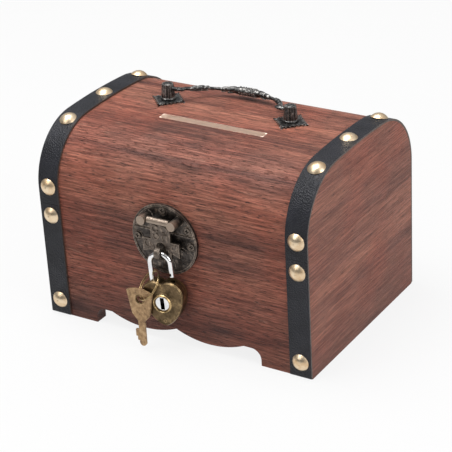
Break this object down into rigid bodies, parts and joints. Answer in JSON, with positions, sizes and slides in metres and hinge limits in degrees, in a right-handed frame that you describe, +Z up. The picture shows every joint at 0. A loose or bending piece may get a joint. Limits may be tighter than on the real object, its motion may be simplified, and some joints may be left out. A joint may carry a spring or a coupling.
{
  "type": "wooden money box",
  "caption": "Wooden treasure-chest money box with an arched hinged lid, coin slot, folding handle, studded leather straps, round hasp and heart padlock with a key.",
  "frame": {"origin": "On the surface that the box stands on, under the middle of the wooden base", "axes": "+X to the right of the front, +Y to the back, +Z up"},
  "size_m": [0.17, 0.1405, 0.1236],
  "materials": {
    "stained_wood": "stained and lightly sealed",
    "strap_leather": "black, semi-gloss",
    "stud_brass": "pale polished brass",
    "antique_bronze": "dark antique bronze plating",
    "dark_cast_metal": "dark antique plating",
    "antique_brass": "brushed antique brass",
    "chrome_plate": "polished chrome plate",
    "plated_steel": "zinc plated"
  },
  "bodies": {
    "base": {"base_left_end": "stained_wood", "base_right_end": "stained_wood", "base_front": "stained_wood", "base_back": "stained_wood", "base_floor": "stained_wood", "base_strap_front_left": "strap_leather", "base_strap_front_right": "strap_leather", "base_strap_back_left": "strap_leather", "base_strap_back_right": "strap_leather", "base_studs": "stud_brass", "hinge_left_base_leaf": "antique_bronze", "hinge_right_base_leaf": "antique_bronze", "hinge_left_pin": "antique_bronze", "hinge_right_pin": "antique_bronze", "hinge_base_screws": "antique_bronze", "hasp_lower_plate": "antique_bronze", "hasp_staple": "antique_bronze", "hasp_lower_screws": "antique_bronze"},
    "lid": {"lid_left_end": "stained_wood", "lid_right_end": "stained_wood", "lid_shell": "stained_wood", "lid_strap_left": "strap_leather", "lid_strap_right": "strap_leather", "lid_studs": "stud_brass", "hinge_left_lid_leaf": "antique_bronze", "hinge_right_lid_leaf": "antique_bronze", "hinge_lid_screws": "antique_bronze", "handle_left_plate": "dark_cast_metal", "handle_right_plate": "dark_cast_metal", "handle_left_post": "dark_cast_metal", "handle_right_post": "dark_cast_metal", "handle_screws": "plated_steel", "hasp_upper_plate": "antique_bronze", "hasp_hinge_pin": "antique_bronze", "hasp_upper_screws": "antique_bronze"},
    "handle": {"handle_bail": "dark_cast_metal"},
    "flap": {"hasp_flap": "antique_bronze"},
    "shackle": {"padlock_shackle": "chrome_plate"},
    "case": {"padlock_case": "antique_brass", "padlock_back_plate": "antique_brass", "padlock_rivets": "antique_brass", "padlock_spring": "plated_steel"},
    "plug": {"padlock_plug": "chrome_plate"},
    "latch": {"padlock_latch": "plated_steel"},
    "ring": {"key_ring": "antique_brass"},
    "key": {"key": "antique_brass"}
  },
  "joints": [
    {"name": "lid_hinge", "type": "hinge", "parent": "base", "child": "lid", "pos_m": [0, 0.0615, 0.06957], "axis": [-1, 0, 0], "range_deg": [0, 100]},
    {"name": "handle_pivot", "type": "hinge", "parent": "lid", "child": "handle", "pos_m": [0, 0.006, 0.12095], "axis": [1, 0, 0], "range_deg": [0, 200]},
    {"name": "flap_hinge", "type": "hinge", "parent": "lid", "child": "flap", "pos_m": [-0.0022, -0.0655, 0.0771], "axis": [-1, 0, 0], "range_deg": [0, 165]},
    {"name": "padlock_swing", "type": "hinge", "parent": "base", "child": "shackle", "pos_m": [-0.0022, -0.06665, 0.0586], "axis": [-1, 0, 0], "range_deg": [0, 80]},
    {"name": "padlock_slide", "type": "slide", "parent": "shackle", "child": "case", "axis": [-0.0603, -0.0095, 0.9981], "range_m": [0, 0.0085], "deforming": ["padlock_spring"]},
    {"name": "plug_turn", "type": "hinge", "parent": "case", "child": "plug", "pos_m": [-0.00085, -0.06644, 0.03034], "axis": [-0.1564, 0.9877, 0], "range_deg": [0, 90]},
    {"name": "latch_slide", "type": "slide", "parent": "case", "child": "latch", "axis": [0.9858, 0.1561, 0.061], "range_m": [0, 0.0016]},
    {"name": "ring_swing", "type": "hinge", "parent": "case", "child": "ring", "pos_m": [-0.00748, -0.06749, 0.04175], "axis": [-0.7343, 0.6788, 0], "range_deg": [0, 25]},
    {"name": "key_swing", "type": "hinge", "parent": "ring", "child": "key", "pos_m": [-0.0127, -0.07315, 0.0316], "axis": [0, 1, 0], "range_deg": [-35, 35]}
  ],
  "couplings": [
    {"joint": "latch_slide", "follows": "plug_turn", "m_per_rad": 0.0010186}
  ]
}
